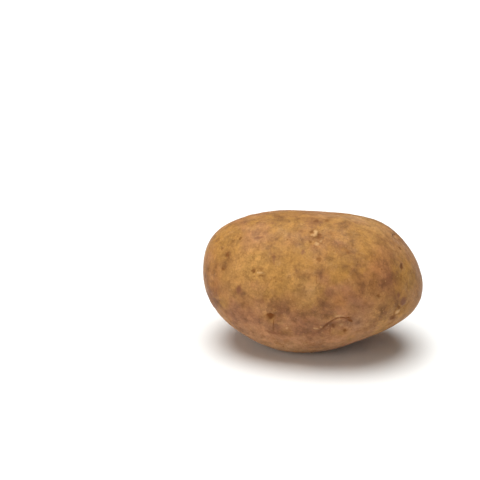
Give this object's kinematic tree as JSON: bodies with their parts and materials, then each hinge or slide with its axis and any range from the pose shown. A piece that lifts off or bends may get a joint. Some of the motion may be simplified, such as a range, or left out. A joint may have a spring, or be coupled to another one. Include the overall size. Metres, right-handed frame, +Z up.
{
  "type": "potato",
  "caption": "Whole raw potato with a thin tan-brown skin and shallow eyes, lying on its side on a small flat spot.",
  "frame": {"origin": "on the resting surface, under the middle of the tuber's box", "axes": "+X along the tuber from its heel end to its bud end, +Z up, -Y the front"},
  "size_m": [0.0992, 0.0666, 0.0619],
  "materials": {
    "potato_skin": "thin raw potato skin: matte tan to golden brown, mottled with darker brown and purplish stains, slightly waxy"
  },
  "bodies": {
    "root": {"potato": "potato_skin"}
  },
  "joints": []
}
